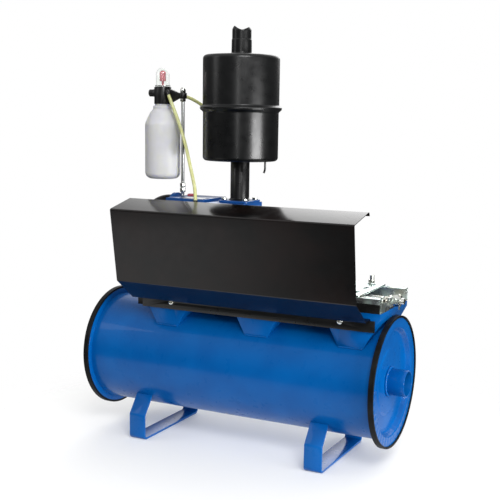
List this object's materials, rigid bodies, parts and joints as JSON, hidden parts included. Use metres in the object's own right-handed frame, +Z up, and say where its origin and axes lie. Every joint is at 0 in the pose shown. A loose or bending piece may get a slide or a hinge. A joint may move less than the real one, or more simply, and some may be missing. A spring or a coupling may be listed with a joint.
{
  "type": "vacuum pump set",
  "caption": "Belt-driven vane vacuum pump on a horizontal reserve tank, with a belt guard, motor slide, silencer and drip oiler.",
  "frame": {"origin": "on the floor under the middle of the outline seen from above", "axes": "+X along the tank towards its outlet, +Y away from the belt guard, +Z up"},
  "size_m": [0.7742, 0.3634, 0.981],
  "materials": {
    "tank_blue": "gloss",
    "black_rubber": "satin",
    "black_paint": "gloss",
    "zinc": "bright zinc",
    "pump_blue": "semi-gloss",
    "steel": "turned",
    "cast_iron": "machined",
    "vane_fibre": "matte",
    "plate_grey": "satin",
    "red_plastic": "gloss",
    "satin_black": "satin",
    "black_plastic": "satin",
    "clear_plastic": "clear",
    "milky_plastic": "translucent",
    "tube_plastic": "translucent"
  },
  "bodies": {
    "frame": {"base_frame": "black_paint", "belt_guard": "black_paint", "check_valve_body": "zinc", "cover_screws": "zinc", "data_plate": "plate_grey", "dip_tube": "milky_plastic", "drip_guide": "red_plastic", "end_cover_left": "tank_blue", "end_cover_right": "tank_blue", "end_plate": "zinc", "exhaust_flange": "pump_blue", "exhaust_pipe": "satin_black", "flush_plug": "red_plastic", "frame_fasteners": "zinc", "front_cover": "pump_blue", "guard_bar": "black_paint", "guard_stays": "black_paint", "leg_left": "tank_blue", "leg_right": "tank_blue", "oil_fittings": "black_plastic", "oil_tube_front": "tube_plastic", "oil_tube_rear": "tube_plastic", "oiler_hardware": "zinc", "oiler_head": "black_plastic", "oiler_rod": "zinc", "pump_body": "pump_blue", "pump_bolts": "zinc", "pump_plate": "black_paint", "rear_cover": "pump_blue", "saddle_left": "tank_blue", "saddle_middle": "tank_blue", "saddle_right": "tank_blue", "seal_ring_left": "black_rubber", "seal_ring_right": "black_rubber", "shaft_bearings": "steel", "shaft_seal": "black_rubber", "sight_dome": "clear_plastic", "silencer_core": "steel", "silencer_lower": "satin_black", "silencer_upper": "satin_black", "slide_rail_front": "zinc", "slide_rail_rear": "zinc", "suction_elbow": "black_rubber", "tail_pipe": "satin_black", "tank_shell": "tank_blue"},
    "motor_slide": {"motor_plate": "zinc", "plate_clamps": "zinc"},
    "tension_screw": {"tension_screw": "zinc", "tension_nuts": "zinc"},
    "rotor": {"pump_rotor": "cast_iron", "pump_shaft": "steel", "pulley": "cast_iron", "pulley_key": "zinc", "pulley_screw": "zinc", "rotor_vanes": "vane_fibre"},
    "feed_knob": {"feed_knob": "black_plastic"},
    "bottle": {"oil_bottle": "milky_plastic"},
    "valve_disc": {"valve_disc": "zinc"}
  },
  "joints": [
    {"name": "motor_travel", "type": "slide", "parent": "frame", "child": "motor_slide", "axis": [1, 0, 0], "range_m": [-0.036, 0.036]},
    {"name": "screw_turn", "type": "hinge", "parent": "frame", "child": "tension_screw", "pos_m": [0.35115, 0.01371, 0.3845], "axis": [1, 0, 0], "range_deg": [-6480, 6480]},
    {"name": "rotor_spin", "type": "hinge", "parent": "frame", "child": "rotor", "pos_m": [-0.09935, 0.02571, 0.486], "axis": [0, 1, 0], "continuous": true},
    {"name": "knob_turn", "type": "hinge", "parent": "frame", "child": "feed_knob", "pos_m": [-0.28235, 0.03171, 0.829], "axis": [1, 0, 0], "range_deg": [-180, 180]},
    {"name": "bottle_drop", "type": "slide", "parent": "frame", "child": "bottle", "axis": [0, 0, -1], "range_m": [0, 0.034]},
    {"name": "valve_lift", "type": "slide", "parent": "frame", "child": "valve_disc", "axis": [0, 0, 1], "range_m": [0, 0.01]}
  ],
  "couplings": [
    {"joint": "screw_turn", "follows": "motor_travel", "rad_per_m": -3141.6}
  ]
}
